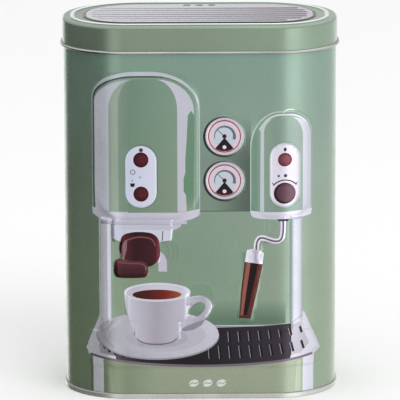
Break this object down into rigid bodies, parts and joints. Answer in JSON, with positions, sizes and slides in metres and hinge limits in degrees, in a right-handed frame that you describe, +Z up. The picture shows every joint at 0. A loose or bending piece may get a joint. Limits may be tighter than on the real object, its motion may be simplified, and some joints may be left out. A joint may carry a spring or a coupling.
{
  "type": "coffee tin",
  "caption": "Tall tinplate storage tin with a flat pictured front, rounded sides, a seamed base and a slip-over lid with a curled hem.",
  "frame": {"origin": "middle of the base, on the surface the tin stands on", "axes": "+Z up, the pictured front faces -Y, +X to the right seen from the front"},
  "size_m": [0.1384, 0.0794, 0.1877],
  "materials": {
    "printed_wall": "glossy lacquered print over tinplate",
    "bare_tinplate": "bright bare tinplate",
    "printed_lid": "glossy lacquered print over tinplate, bare curled hem"
  },
  "bodies": {
    "tin": {"body_wall": "printed_wall", "base_plate": "bare_tinplate"},
    "lid": {"lid": "printed_lid"}
  },
  "joints": [
    {"name": "lid_lift", "type": "slide", "parent": "tin", "child": "lid", "axis": [0, 0, 1], "range_m": [0, 0.08]}
  ]
}
